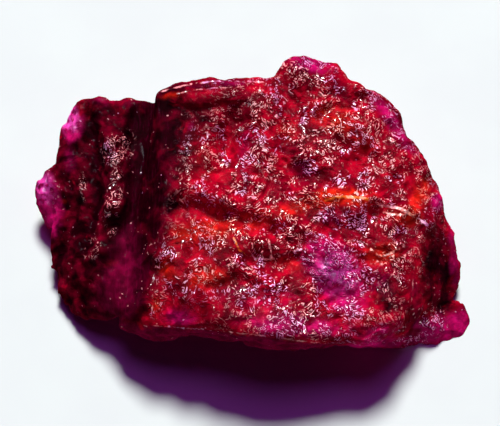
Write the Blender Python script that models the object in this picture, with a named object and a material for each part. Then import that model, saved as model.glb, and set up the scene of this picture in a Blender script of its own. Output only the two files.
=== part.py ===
"""A rough red beryl crystal: one broken, glossy lump of gem rough, resting on its flat underside.

The lump is laid out on a plane that leans back from upright, because its broad crinkled face lies near
that plane. A corner is (across, up, out) in millimetres: across to the right along the ground, up the
leaning plane, and straight out of the plane. The masses that the lump broke into are convex wedges
between such corners. They are fused into one skin, the skin gets its lumps, creases and pits, and the
whole is stood on the ground, cut flat where it rests, and brought to metres.
"""

import math

import bmesh
import bpy
from mathutils import Matrix, Vector, noise

MM = 0.001

# Driving dimensions, in millimetres and degrees.
LAYOUT_RISE_DEG = 28.0  # how steeply the layout plane rises from the ground, towards the back
GROUND_DROP = 8.5  # from the layout plane's origin down to the ground
GROUND_SNAP = 0.08  # points this near to the ground are put on it, so that the cut leaves no slivers
CUT_TOLERANCE = 0.008  # how near to the ground a point counts as on it, in the cut itself
SKIN_VOXEL = 0.27  # grid on which the wedges are fused
SOFTENING_PASSES = 1  # how often the fused skin is smoothed
SOFTENING = 0.5  # how strongly, each time
SKIN_GROWTH = 0.08  # outward, to make up for what fusing and softening take off
TRIANGLE_BUDGET = 11600  # before the ground cut takes some away

# The wedges, as corners (across, up, out).
MAIN_BLOCK = [
    # Rim of the broad face, from its upper left corner clockwise to the right-hand point.
    (-7.1, 8.5, -2.8),
    (-3.8, 9.2, -3.0),
    (-0.2, 9.6, -3.2),
    (3.1, 9.8, -3.2),
    (7.8, 9.4, -3.4),
    (10.6, 8.2, -3.6),
    (11.7, 5.7, -3.6),
    (13.0, 3.2, -3.4),
    (14.3, 1.3, -3.2),
    (14.8, -0.2, -3.0),
    # Lower right rim and the front lip.
    (12.7, -2.4, -1.0),
    (11.7, -5.6, 0.1),
    (10.9, -8.5, 0.8),
    (9.2, -10.1, 1.5),
    (6.6, -9.9, 1.9),
    (2.2, -9.6, 2.3),
    (-1.5, -9.1, 2.3),
    (-4.4, -8.7, 1.8),
    (-7.4, -8.5, 0.6),
    # Left rim, above the flank.
    (-7.0, -6.6, 1.3),
    (-6.5, -3.8, 1.2),
    (-6.1, 0.4, 0.2),
    (-5.8, 4.2, -1.0),
    # Lower edge of the front wall.
    (-9.8, -9.3, -1.0),
    (-7.4, -9.8, -1.2),
    (-3.7, -9.9, -0.8),
    (0.0, -10.4, -0.6),
    (3.8, -10.55, -0.4),
    (9.4, -10.7, -0.4),
    # Right wall.
    (14.9, -2.0, -4.4),
    (15.9, -4.0, -5.0),
    (16.5, -5.8, -5.3),
    (16.2, -6.9, -5.4),
    # Back wall and underside.
    (-6.6, 8.2, -6.0),
    (0.4, 9.4, -7.0),
    (8.0, 8.8, -7.4),
    (12.6, 4.6, -7.6),
    (15.0, 0.0, -7.6),
    (-7.6, 6.6, -10.2),
    (4.4, 7.6, -11.2),
    (12.6, 2.2, -9.8),
    (-7.2, 3.2, -12.4),
    (4.8, 3.7, -13.0),
    (9.6, 0.6, -11.2),
    (10.6, -4.6, -8.6),
    (5.0, -7.6, -6.8),
    (-6.5, -6.8, -7.2),
]
LEFT_WING = [
    (-13.1, 8.2, -4.8),
    (-11.4, 8.4, -4.2),
    (-8.8, 8.4, -4.4),
    (-7.4, 7.9, -5.2),
    (-14.5, 6.6, -5.8),
    (-14.8, 4.4, -5.9),
    (-14.9, 1.4, -5.6),
    (-15.6, -2.0, -5.8),
    (-15.4, -4.9, -5.4),
    (-14.8, -7.6, -4.6),
    (-13.8, -8.7, -4.2),
    (-11.6, -8.7, -3.2),
    (-10.6, 5.0, -2.9),
    (-10.5, 0.0, -2.4),
    (-11.3, -5.0, -2.0),
    (-9.2, -8.0, -0.6),
    # Hidden in the main block, and down to the ground.
    (-5.0, 6.0, -6.0),
    (-5.0, -7.0, -3.0),
    (-12.4, 6.0, -9.8),
    (-10.4, 3.0, -12.2),
    (-12.4, -1.6, -10.0),
    (-10.6, -5.6, -7.8),
    (-6.0, 3.4, -12.6),
]
WEDGES = {
    "main_block": MAIN_BLOCK,
    "left_wing": LEFT_WING,
    # The knuckle that stands up from the top rim.
    "crest_knuckle": [
        (1.7, 9.4, -3.4),
        (2.7, 10.4, -3.4),
        (3.3, 11.3, -3.6),
        (4.6, 11.4, -3.6),
        (5.8, 10.9, -3.7),
        (7.2, 10.5, -3.9),
        (7.9, 9.6, -3.9),
        (9.0, 8.9, -3.0),
        (3.3, 7.0, -2.15),
        (6.0, 7.6, -2.35),
        (2.6, 10.0, -6.4),
        (5.0, 10.7, -6.6),
        (7.6, 9.0, -6.2),
        (4.8, 6.0, -6.0),
    ],
    # The tongue that runs out low on the right.
    "right_tongue": [
        (16.1, -7.4, -4.8),
        (16.8, -8.1, -4.9),
        (17.3, -9.1, -5.0),
        (17.0, -10.2, -4.9),
        (15.9, -10.9, -4.7),
        (14.1, -11.4, -4.4),
        (11.6, -11.3, -3.8),
        (9.0, -10.8, -2.6),
        (13.6, -8.2, -3.6),
        (11.0, -8.6, -1.8),
        (15.6, -8.0, -6.0),
        (15.4, -9.8, -5.6),
        (9.0, -9.0, -5.0),
        (10.0, -5.0, -5.0),
    ],
    # Two thin beads on the left edge.
    "lower_bead": [
        (-16.9, 0.6, -7.3),
        (-16.7, 1.5, -7.2),
        (-16.1, 2.5, -6.8),
        (-14.9, 3.1, -6.0),
        (-16.6, -0.7, -7.5),
        (-16.1, -1.9, -7.4),
        (-14.7, -1.7, -5.4),
        (-15.0, 1.4, -5.2),
        (-15.8, 0.2, -8.6),
        (-14.2, 1.6, -8.2),
    ],
    "upper_bead": [
        (-14.7, 6.1, -6.2),
        (-14.1, 7.2, -5.8),
        (-13.3, 8.0, -5.4),
        (-12.7, 6.6, -4.4),
        (-13.0, 5.2, -4.5),
        (-14.9, 5.0, -6.0),
        (-13.6, 6.2, -7.4),
        (-12.8, 4.8, -6.6),
    ],
    # The raised strip along the top rim, left of the knuckle.
    "rim_strip": [
        (-7.1, 8.7, -3.0),
        (-7.2, 8.0, -2.2),
        (-6.4, 9.0, -3.2),
        (-3.9, 9.4, -3.4),
        (-1.5, 9.8, -3.5),
        (-0.2, 10.0, -3.6),
        (1.6, 9.7, -3.5),
        (-3.7, 7.9, -2.0),
        (-0.4, 8.1, -1.9),
        (-6.8, 7.6, -4.4),
        (1.0, 8.6, -5.0),
    ],
}

# Lumps of the broad face and its neighbours, as (across, up, radius, height).
LUMPS = [
    (6.0, -4.2, 2.3, 0.75),
    (7.7, -6.2, 1.4, 0.35),
    (7.6, 5.4, 2.9, 0.65),
    (3.9, 3.6, 1.1, 0.35),
    (-0.7, -2.6, 1.6, 0.45),
    (-4.0, -2.6, 1.3, 0.35),
    (0.0, -6.0, 1.5, 0.40),
    (7.9, -0.8, 1.3, 0.35),
    (11.1, -1.0, 1.3, 0.30),
    (11.3, 3.0, 1.4, 0.40),
    (10.4, -6.0, 1.4, 0.40),
    (-1.5, -7.8, 1.6, 0.35),
    (-2.6, 6.6, 1.3, 0.30),
    (-3.8, 3.3, 1.1, 0.30),
    (3.6, -7.6, 1.5, 0.25),
    # Knobs on the crest of the left wing.
    (-10.4, 4.9, 1.0, 0.35),
    (-9.6, 3.6, 0.8, 0.30),
    (-10.3, 0.0, 1.1, 0.35),
    (-11.2, -3.3, 0.8, 0.25),
    (-12.6, 1.0, 0.8, 0.30),
    # Stubs on the tongue.
    (13.9, -9.0, 0.9, 0.30),
    (12.4, -10.0, 0.8, 0.25),
    # Twin heads of the knuckle.
    (3.9, 10.2, 1.2, 0.35),
    (6.4, 9.3, 1.0, 0.30),
]
# Ridges and valleys, as (reach to each side, height, points across and up). A valley's height is negative.
SEAMS = [
    (1.7, 0.45, [(0.9, 7.5), (0.6, 5.2), (0.4, 3.3), (-0.3, 1.5)]),
    (1.2, 0.45, [(-4.5, 1.3), (-2.6, 0.4), (-0.4, -0.2), (1.9, -0.8), (3.3, -1.7)]),
    (0.9, 0.45, [(4.6, 0.6), (6.7, 0.45), (8.8, 0.5), (11.5, -0.4), (13.4, -1.3)]),
    (0.8, 0.30, [(-0.3, -3.2), (-1.1, -4.2), (-2.1, -5.4)]),
    (0.8, 0.30, [(-1.0, -4.5), (0.6, -5.2), (1.9, -6.5)]),
    (0.8, 0.30, [(8.6, -3.5), (9.5, -3.3), (10.6, -2.9)]),
    (1.4, 0.35, [(7.1, -8.0), (9.1, -8.4)]),
    (1.3, -0.45, [(-1.6, 6.3), (-1.7, 4.1), (-2.1, 2.6), (-0.7, 0.7)]),
    (1.2, -0.45, [(3.0, 9.1), (3.5, 6.7), (2.5, 4.1), (3.1, 2.0), (5.6, 1.7)]),
    (1.2, -0.50, [(-5.2, -0.2), (-2.6, -0.7), (0.0, -1.1), (1.8, -1.9)]),
    (1.2, -0.45, [(2.4, -4.2), (3.7, -2.8), (6.0, -2.1), (8.8, -2.5), (8.9, -4.7), (8.5, -6.3)]),
    (1.2, -0.35, [(0.0, -4.2), (3.0, -4.7)]),
    (1.1, -0.45, [(-6.6, -5.0), (-6.0, -7.1), (-5.8, -8.4)]),
    (1.6, -0.50, [(7.4, 4.2), (7.9, 4.0)]),
    (1.6, -0.40, [(6.9, -6.9), (7.3, -6.9)]),
    # The crest of the left wing, and the grooves to its sides.
    (0.9, 0.35, [(-11.0, 5.6), (-10.5, 3.6), (-10.2, 1.2), (-10.3, -1.6), (-11.2, -3.9)]),
    (1.0, -0.40, [(-12.3, 6.4), (-12.0, 3.0), (-11.6, 0.0), (-12.2, -3.0)]),
    (0.9, -0.30, [(-8.9, 6.5), (-8.8, 2.6), (-9.0, -0.8), (-9.9, -4.2)]),
]
# Lumps and seams fade in between these outward parts of a point's normal, and stop below this depth.
FADE_FROM, FADE_TO = 0.25, 0.7
RELIEF_DEPTH = -6.5

# Weathered relief all over, as (wave length, height, whether it is folded into ridges). A folded
# layer stands FOLD_TOP above its middle on its ridges, and falls off at FOLD_SLOPE.
FOLD_TOP, FOLD_SLOPE = 0.5, 2.0
WEATHERING = [
    (5.0, 0.50, False),
    (2.3, 0.30, True),
    (1.3, 0.16, True),
]
NOISE_ORIGIN = Vector((0.0, 5.0, 9.0))
NOISE_LAYER_SHIFT = Vector((17.0, 0.0, 0.0))  # keeps the layers from lining up
# The smooth flank left of the broad face is calmer.
FLANK = [(-6.9, 8.5), (-6.9, 2.0), (-7.9, -4.0), (-8.8, -8.5)]
FLANK_REACH = 2.25
FLANK_CALM = 0.75  # share of the weathering that it lacks


def fused_skin():
    """The wedges as one closed skin of small quads."""
    bm = bmesh.new()
    for corners in WEDGES.values():
        add_wedge(bm, corners)
    return through_modifier(bm, "REMESH", mode="VOXEL", voxel_size=SKIN_VOXEL)


def add_wedge(bm, corners):
    """Adds the convex wedge between these corners to the mesh."""
    verts = [bm.verts.new(corner) for corner in corners]
    hull = bmesh.ops.convex_hull(bm, input=verts)
    spare = hull["geom_interior"] + hull["geom_unused"]
    loose = {item for item in spare if isinstance(item, bmesh.types.BMVert)}
    bmesh.ops.delete(bm, geom=list(loose), context="VERTS")


def through_modifier(bm, kind, **settings):
    """The mesh as it comes out of one modifier. The mesh that went in is freed."""
    carrier = bpy.data.objects.new("carrier", bpy.data.meshes.new("carrier"))
    bpy.context.scene.collection.objects.link(carrier)
    bm.to_mesh(carrier.data)
    bm.free()
    modifier = carrier.modifiers.new(kind.lower(), kind)
    for name, value in settings.items():
        setattr(modifier, name, value)
    evaluated = carrier.evaluated_get(bpy.context.evaluated_depsgraph_get())
    result = bmesh.new()
    result.from_mesh(evaluated.to_mesh())
    bpy.data.objects.remove(carrier)
    return result


def swell(distance, reach):
    """A smooth swelling: 1 at no distance, 0 from its reach on."""
    share = min(distance / reach, 1.0)
    return (1 - share * share) ** 2


def distance_to_path(spot, path):
    """The least distance from a flat point to a line through the path's points."""
    least = math.inf
    for start, end in zip(path, path[1:]):
        run = Vector(end) - Vector(start)
        offset = spot - Vector(start)
        along = max(0.0, min(1.0, offset.dot(run) / run.length_squared))
        least = min(least, (offset - run * along).length)
    return least


def face_relief(place, normal):
    """How far the lumps, ridges and valleys move a point of the skin out."""
    fade = max(0.0, min(1.0, (normal.z - FADE_FROM) / (FADE_TO - FADE_FROM)))
    if fade == 0.0 or place.z < RELIEF_DEPTH:
        return 0.0
    total = 0.0
    for across, up, radius, height in LUMPS:
        total += height * swell((place.xy - Vector((across, up))).length, radius)
    for reach, height, path in SEAMS:
        total += height * swell(distance_to_path(place.xy, path), reach)
    return fade * total


def weathering(place):
    """How far the relief that runs all over moves a point of the skin out."""
    total = 0.0
    for layer, (length, height, folded) in enumerate(WEATHERING):
        value = noise.noise(place / length + NOISE_ORIGIN + layer * NOISE_LAYER_SHIFT)
        total += height * (FOLD_TOP - FOLD_SLOPE * abs(value) if folded else value)
    return total * (1 - FLANK_CALM * swell(distance_to_path(place.xy, FLANK), FLANK_REACH))


def roughen(bm):
    """Softens the wedges' edges, then moves each point out by its relief."""
    axes = {"use_axis_x": True, "use_axis_y": True, "use_axis_z": True}
    for _ in range(SOFTENING_PASSES):
        bmesh.ops.smooth_vert(bm, verts=bm.verts, factor=SOFTENING, **axes)
    bm.normal_update()
    moves = [v.normal * (SKIN_GROWTH + face_relief(v.co, v.normal) + weathering(v.co)) for v in bm.verts]
    for vert, move in zip(bm.verts, moves):
        vert.co += move


def thinned(bm):
    """The skin with its triangles brought down to the budget, more of them left where it bends."""
    bmesh.ops.triangulate(bm, faces=bm.faces)
    return through_modifier(bm, "DECIMATE", ratio=TRIANGLE_BUDGET / len(bm.faces))


def stand(bm):
    """Turns the layout plane to its rise and cuts the lump flat where it meets the ground."""
    bmesh.ops.rotate(bm, verts=bm.verts, matrix=Matrix.Rotation(math.radians(LAYOUT_RISE_DEG), 3, "X"))
    bmesh.ops.translate(bm, verts=bm.verts, vec=(0, 0, GROUND_DROP))
    for vert in bm.verts:
        if abs(vert.co.z) < GROUND_SNAP:
            vert.co.z = 0
    bmesh.ops.bisect_plane(
        bm,
        geom=bm.verts[:] + bm.edges[:] + bm.faces[:],
        dist=CUT_TOLERANCE,
        plane_co=(0, 0, 0),
        plane_no=(0, 0, -1),
        clear_outer=True,
    )
    rim = [edge for edge in bm.edges if edge.is_boundary]
    bmesh.ops.triangle_fill(bm, edges=rim, use_beauty=True, normal=(0, 0, -1))
    bmesh.ops.recalc_face_normals(bm, faces=bm.faces)


def place_origin(bm):
    """Puts the origin on the ground beneath the middle of the lump, and goes to metres."""
    across = [vert.co.x for vert in bm.verts]
    along = [vert.co.y for vert in bm.verts]
    middle = Vector(((min(across) + max(across)) / 2, (min(along) + max(along)) / 2, 0))
    bmesh.ops.translate(bm, verts=bm.verts, vec=-middle)
    bmesh.ops.scale(bm, verts=bm.verts, vec=(MM, MM, MM))


def beryl():
    """Crimson gem rough with a glassy, crinkled surface."""
    material = bpy.data.materials.new("beryl")
    material.use_nodes = True
    shader = material.node_tree.nodes["Principled BSDF"]
    shader.inputs["Base Color"].default_value = (0.42, 0.012, 0.045, 1)
    shader.inputs["Roughness"].default_value = 0.22
    shader.inputs["Metallic"].default_value = 0.0
    return material


def main():
    for obj in list(bpy.data.objects):
        bpy.data.objects.remove(obj)
    skin = fused_skin()
    roughen(skin)
    skin = thinned(skin)
    stand(skin)
    place_origin(skin)
    crystal = bpy.data.objects.new("crystal", bpy.data.meshes.new("crystal"))
    skin.to_mesh(crystal.data)
    skin.free()
    crystal.data.materials.append(beryl())
    bpy.context.scene.collection.objects.link(crystal)


main()
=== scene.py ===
"""Rough red beryl, dressed: one broken lump of crimson gem rough on a pale floor, under soft studio light.

The frame holds the lump as one solid. Its skin here is that solid, smoothed and refined, with the fine
crinkles, striations and grain that the solid is too coarse to hold, and with its zones of colour stored in
it. Lengths are in metres. Places on the lump are in its layout plane, in millimetres: across to the right,
up the plane, and straight out of it.
"""

import logging
import math
from dataclasses import dataclass, field
from enum import Enum
from functools import cached_property

import bmesh
import bpy
import numpy as np
from mathutils import Matrix, Vector, noise


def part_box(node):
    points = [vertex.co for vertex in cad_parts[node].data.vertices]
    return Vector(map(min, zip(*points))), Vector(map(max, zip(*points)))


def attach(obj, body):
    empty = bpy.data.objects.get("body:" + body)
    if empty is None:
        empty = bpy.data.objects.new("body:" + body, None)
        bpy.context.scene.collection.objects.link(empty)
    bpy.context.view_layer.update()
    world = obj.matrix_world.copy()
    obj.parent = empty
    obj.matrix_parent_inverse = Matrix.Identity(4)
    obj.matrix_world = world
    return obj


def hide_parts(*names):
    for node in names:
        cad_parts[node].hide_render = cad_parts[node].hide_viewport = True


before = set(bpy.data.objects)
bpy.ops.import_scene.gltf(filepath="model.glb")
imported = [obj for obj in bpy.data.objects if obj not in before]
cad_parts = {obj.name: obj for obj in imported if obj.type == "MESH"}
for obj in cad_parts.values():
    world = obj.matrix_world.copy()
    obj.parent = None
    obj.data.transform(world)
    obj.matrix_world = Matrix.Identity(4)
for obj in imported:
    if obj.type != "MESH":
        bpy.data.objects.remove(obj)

LOG = logging.getLogger("red_beryl")
MM = 0.001
NODE = "crystal"
Colour = tuple[float, ...]
Socket = bpy.types.NodeSocket


class Zone(Enum):
    """What the skin stores at each of its points, under these attribute names."""

    EMBER = "ember"
    MAGENTA = "magenta"
    # The orchid zone is painted light on the beads and the dome.
    ORCHID = "orchid"
    # The wine zone is partly darker stone and partly painted shade.
    WINE = "wine"
    GLINT = "glint"
    SATIN = "satin"
    # The side zone is mostly painted shade, on faces that turn away from the face's plane.
    SIDE = "side"
    # The next two are thin painted highlights: gold streaks and pale ones.
    GOLD = "gold"
    PAINTED_HIGHLIGHT = "painted_highlight"
    SWELL = "swell"


@dataclass(frozen=True)
class LayoutPlane:
    """The plane along which the broad face lies, rising from the ground towards the back.

    Attributes:
        rise_deg: How steeply the plane rises.
        height_mm: How high its middle is above the ground.
        shift_mm: From the frame's origin to the plane's middle, along X and Y.
    """

    rise_deg: float = 28.0
    height_mm: float = 8.5
    shift_mm: tuple[float, float] = (0.002, 1.310)

    def turn(self) -> Matrix:
        """Returns the rotation from the plane's axes to the frame's."""
        return Matrix.Rotation(math.radians(self.rise_deg), 3, "X")

    def to_world(self, across: float, up: float, out: float) -> Vector:
        """Finds a place of the plane in the frame.

        Args:
            across: Millimetres to the right.
            up: Millimetres up the plane.
            out: Millimetres out of the plane.

        Returns:
            The same place in the frame, in metres.
        """
        middle = Vector((-self.shift_mm[0], -self.shift_mm[1], self.height_mm))
        return (self.turn() @ Vector((across, up, out)) + middle) * MM

    def from_world(self, points: np.ndarray) -> np.ndarray:
        """Turns points of the frame into places of the plane.

        Args:
            points: Points as rows, in metres.

        Returns:
            The places as rows of across, up and out, in millimetres.
        """
        middle = np.array((-self.shift_mm[0], -self.shift_mm[1], self.height_mm))
        return (points / MM - middle) @ np.array(self.turn())


PLANE = LayoutPlane()


@dataclass(frozen=True)
class Patch:
    """A soft-edged oval on the layout plane.

    Attributes:
        across: Middle, millimetres to the right.
        up: Middle, millimetres up the plane.
        half_width: Reach to each side before its tilt.
        half_height: Reach up and down before its tilt.
        strength: Weight at its middle.
        tilt_deg: Turn of its long side, anticlockwise.
    """

    across: float
    up: float
    half_width: float
    half_height: float
    strength: float = 1.0
    tilt_deg: float = 0.0

    def weight(self, places: np.ndarray) -> np.ndarray:
        """Weighs places by how near they are to the middle.

        Args:
            places: Rows of across, up and out.

        Returns:
            The weight of each place, 0 from the rim on.
        """
        tilt = math.radians(self.tilt_deg)
        right = places[:, 0] - self.across
        above = places[:, 1] - self.up
        along = (right * math.cos(tilt) + above * math.sin(tilt)) / self.half_width
        beside = (above * math.cos(tilt) - right * math.sin(tilt)) / self.half_height
        share = np.clip(along**2 + beside**2, 0, 1)
        return self.strength * (1 - share) ** 2


@dataclass(frozen=True)
class Streak:
    """A soft-edged band along a line on the layout plane.

    Attributes:
        path: Its corners, as millimetres across and up.
        half_width: Reach to each side.
        strength: Weight at its middle.
    """

    path: tuple[tuple[float, float], ...]
    half_width: float
    strength: float = 1.0

    def weight(self, places: np.ndarray) -> np.ndarray:
        """Weighs places by how near they are to the line.

        Args:
            places: Rows of across, up and out.

        Returns:
            The weight of each place, 0 from the rim on.
        """
        nearest = np.full(len(places), np.inf)
        for start, end in zip(self.path, self.path[1:]):
            run = np.subtract(end, start)
            offset = places[:, :2] - start
            share = np.clip(offset @ run / (run @ run), 0, 1)
            nearest = np.minimum(nearest, np.linalg.norm(offset - share[:, None] * run, axis=1))
        return self.strength * np.clip(1 - (nearest / self.half_width) ** 2, 0, 1) ** 2


# Where each zone lies on the layout plane. The weights of patches that overlap add up, and of the thin
# streaks of painted highlight, pale and gold, the strongest counts.
EMBER_PATCHES = (
    # Along the ledge across the face, below its left half, and in two spots on the front lip.
    Streak(((-5.4, -2.2), (-4.0, -1.6), (-0.8, -1.4), (2.4, -0.6), (5.4, 0.3), (9.0, 0.5)), 1.3, 0.6),
    Patch(-3.8, -2.6, 2.8, 1.6, 0.35),
    Patch(-0.4, -3.0, 5.0, 2.2, 0.3),
    Patch(-6.0, -4.8, 1.3, 1.6, 0.8),
    Patch(-3.2, -5.3, 3.2, 1.6, 0.7, 6),
    Patch(-6.9, -7.4, 0.8, 1.4, 0.7),
    Patch(1.2, -8.2, 2.4, 1.0, 0.6, -6),
    # The hollow above the dome, the ledge's right end, the loops below that, and the right-hand point.
    Patch(3.0, -4.4, 2.6, 0.8, 0.5, -14),
    Patch(6.6, 0.7, 3.4, 1.0, 0.9),
    Patch(9.8, -3.6, 2.4, 1.4, 0.9, 12),
    Patch(11.4, -0.9, 2.6, 1.2, 0.7, -18),
    Patch(12.9, 0.7, 1.4, 2.6, 0.9, -25),
    # The domes below the knuckle, the left column, and the rim strip's left end.
    Patch(6.4, 6.6, 3.2, 2.0, 0.8, -12),
    Patch(8.6, 4.6, 2.2, 1.6, 0.5),
    Patch(2.9, 5.6, 1.5, 1.6, 0.5),
    Patch(-3.4, 3.2, 1.6, 2.2, 0.4),
    Patch(-6.0, 8.3, 1.5, 0.5, 0.7, 6),
    # Two sparks on the left wing.
    Patch(-10.6, -4.4, 1.3, 0.6, 0.35, 20),
    Patch(-14.6, 0.3, 0.7, 0.4, 0.7),
)
MAGENTA_PATCHES = (
    # The two beads on the left edge, the wing's edge between them, and its upper rim.
    Patch(-15.9, 0.0, 1.8, 3.4, 1.6, 8),
    Patch(-13.9, 6.4, 1.4, 2.0, 1.6),
    Patch(-14.0, 3.6, 0.9, 2.2, 0.5),
    Patch(-11.4, 8.2, 1.5, 1.1, 0.4),
    # The dome in the lower right of the face, and the bruises beside and above it.
    Patch(6.0, -4.4, 3.4, 2.6, 1.3, -35),
    Patch(6.9, -6.6, 3.0, 2.0, 1.1, -30),
    Patch(9.6, -5.6, 2.6, 2.2, 0.3),
    Patch(6.2, -0.8, 2.2, 1.1, 0.4),
    Patch(3.8, 2.6, 1.4, 1.2, 0.4),
    # The middle column, and a bright spot left of it.
    Patch(-0.3, 3.6, 1.1, 4.0, 0.4),
    Patch(-4.6, 6.0, 0.6, 0.6, 0.5),
    # Along the front lip.
    Patch(-5.2, -8.2, 2.2, 1.2, 0.8),
    Patch(0.8, -6.9, 5.4, 1.5, 0.4, -3),
    Patch(3.4, -8.8, 6.5, 1.3, 0.9, -5),
    Patch(9.4, -9.4, 3.0, 1.3, 0.6, 15),
    Patch(9.6, -10.7, 4.2, 1.2, 1.1, 4),
    # The rim: its strip, the knuckle, the point, and the edges above and below that; the patch on the edge
    # by the right flank is a painted highlight.
    Patch(-2.0, 9.3, 4.6, 0.6, 0.4, 4),
    Patch(4.6, 11.1, 3.4, 1.6, 0.8, -20),
    Patch(10.9, 6.3, 0.9, 4.6, 0.9, 34),
    Patch(14.3, 0.2, 0.9, 1.0, 1.2),
    Patch(15.8, -4.0, 0.8, 4.0, 0.9, 8),
    # The tongue.
    Patch(14.0, -9.8, 2.8, 1.7, 0.6),
    Patch(14.6, -9.7, 3.2, 2.2, 0.8),
    Patch(16.6, -9.4, 1.5, 2.0, 1.1),
)
ORCHID_PATCHES = (
    # The two beads, and the dome: painted light, bright spots on the beads and a lift where the dome lies
    # in shade.
    Patch(-16.3, 1.4, 1.3, 1.7, 0.8, 8),
    Patch(-14.1, 6.7, 1.1, 1.5, 1.1),
    Patch(6.4, -5.0, 2.2, 2.0, 0.8, -30),
)
# Partly darker stone, partly painted shade: the wing and the flanks, which turn from the light, and the
# recesses, pits and notches where shade falls.
WINE_PATCHES = (
    # The whole left wing, and the smooth flank between it and the face.
    Patch(-12.4, -1.0, 7.2, 15.0, 2.0),
    Streak(((-7.4, 8.6), (-7.2, 4.1), (-7.8, 0.4), (-9.2, -4.1), (-10.6, -8.6)), 3.3, 1.7),
    # The face's left part, the recess under the rim strip, and the strip itself.
    Patch(-4.8, 5.4, 3.2, 4.6, 0.55, 4),
    Patch(-5.2, 0.8, 2.6, 1.8, 0.3),
    Patch(-3.0, 6.9, 4.2, 1.0, 0.35),
    Patch(-2.6, 9.2, 5.2, 0.9, 0.8, 4),
    # Above the ledge, and the pit by the domes.
    Patch(-4.9, -0.2, 2.4, 0.8, 0.15, -12),
    Patch(0.2, 1.2, 5.2, 0.7, 0.35, -6),
    Patch(0.0, 2.6, 4.2, 3.0, 0.25),
    Patch(8.4, 2.6, 1.6, 0.7, 0.4),
    # The knuckle, with the notch below it.
    Patch(7.0, 9.0, 1.7, 0.8, 0.5, -25),
    Patch(4.4, 11.2, 3.6, 2.4, 0.9, -20),
    # The face's lower right, the right flank and the tongue.
    Patch(9.3, -6.0, 2.8, 2.6, 0.5),
    Patch(10.8, -7.2, 2.8, 3.2, 0.7, 20),
    Patch(12.4, -8.6, 2.2, 0.9, 0.6, 30),
    Patch(14.4, -5.0, 2.6, 4.6, 0.9, 8),
    Patch(15.3, -4.8, 1.3, 3.2, 0.3, 8),
    Patch(14.9, -7.5, 2.0, 1.3, 0.9),
    Patch(13.4, -9.9, 2.8, 1.9, 0.6),
    Patch(14.8, -9.8, 3.6, 2.2, 0.3, 10),
)
PLUM_PATCHES = (
    # The front wall, the flank, the edge by the right flank, and the wing's upper end; all but the edge by
    # the right flank are painted shade.
    Streak(((-9.8, -9.6), (-4.4, -9.8), (1.5, -10.4), (5.5, -11.0), (9.4, -11.2)), 1.0, 2.2),
    Patch(-9.9, -6.0, 3.2, 4.8, 0.9, -14),
    Patch(-9.2, -2.0, 1.2, 3.4, 0.5, -6),
    Patch(12.3, -6.8, 0.9, 3.2, 0.4, 6),
    Patch(-9.6, 8.4, 1.6, 1.4, 0.6),
)
GLINT_PATCHES = (
    # The whole face, more on its left part, its left edge and the knuckle.
    Patch(4.4, 0.0, 13.8, 15.5, 1.8),
    Patch(-5.6, -4.6, 2.6, 3.4, 0.9),
    Patch(-7.0, -7.4, 0.9, 1.4, 1.8),
    Patch(-7.7, 4.6, 0.5, 1.8, 0.5, -8),
    Patch(3.8, 10.6, 3.6, 2.0, 0.9, -20),
    # The wing's crest, from its upper knob down, and the small knobs to its left.
    Patch(-10.0, 4.5, 1.5, 2.3, 2.4, -50),
    Patch(-10.3, 0.4, 0.85, 3.2, 2.6, -6),
    Patch(-10.2, -1.7, 1.1, 1.4, 1.5),
    Patch(-12.0, -3.4, 0.9, 1.3, 2.0, -20),
    Patch(-12.9, 1.4, 0.5, 1.8, 1.0, 8),
    # The beads.
    Patch(-15.4, 0.4, 1.4, 2.6, 0.35),
    Patch(-13.7, 6.4, 1.2, 1.6, 0.4),
    # The tongue's two stubs.
    Patch(13.9, -8.9, 1.8, 1.8, 2.2, 20),
    Patch(12.4, -10.5, 1.8, 1.1, 2.0),
)
SATIN_PATCHES = (
    # The smooth flank, the edge by the right flank, and the right flank itself.
    Streak(((-7.7, 8.2), (-7.5, 4.1), (-8.0, 0.4), (-9.0, -4.1), (-10.2, -8.4)), 2.6, 1.2),
    Patch(-9.4, -5.6, 2.2, 5.0, 1.2, -10),
    Patch(12.2, -7.0, 0.9, 3.6, 0.8, 4),
    Patch(14.4, -4.8, 1.9, 4.2, 0.75, 8),
)
GOLD_STREAKS = (
    # On the ledge, and in a crack below it.
    Streak(((5.6, 0.35), (6.6, 0.6), (8.3, 0.55), (8.8, 0.4)), 0.5, 1.0),
    Streak(((-1.2, -2.4), (-0.8, -3.3), (0.0, -3.8)), 0.5, 0.92),
)
# Pale streaks painted on as highlights: thin lines of light along the ledge, the loops, the rim's edges and
# the lip.
PAINTED_HIGHLIGHT_STREAKS = (
    # Where the ledge runs out to the right, and the loops below it.
    Streak(((9.6, 0.05), (11.2, -0.25), (12.2, -0.8), (13.4, -1.5)), 0.5, 1.0),
    Streak(((9.4, -0.3), (10.6, -0.7), (11.4, -0.75)), 0.5, 0.96),
    Streak(((9.0, -3.3), (9.6, -3.9), (10.5, -3.6), (11.6, -3.0)), 0.5, 0.96),
    Streak(((1.6, -4.0), (2.6, -3.6), (3.8, -3.3)), 0.5, 0.95),
    Streak(((-0.4, -3.0), (0.4, -4.0), (1.6, -4.0), (1.4, -2.6)), 0.5, 0.95),
    # Both edges of the rim strip, the edge by the right flank, and the front lip.
    Streak(((-6.9, 8.65), (-4.5, 9.25), (-2.0, 9.55), (1.0, 9.4)), 0.5, 0.93),
    Streak(((-5.6, 8.45), (-3.5, 8.85), (-0.5, 9.05)), 0.5, 0.90),
    Streak(((12.3, -4.6), (12.1, -6.4), (11.9, -8.2)), 0.5, 0.88),
    Streak(((-7.2, -8.9), (-3.0, -9.15), (1.0, -9.5), (5.0, -10.1), (9.0, -10.4), (10.6, -9.9)), 0.5, 0.90),
)
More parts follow.
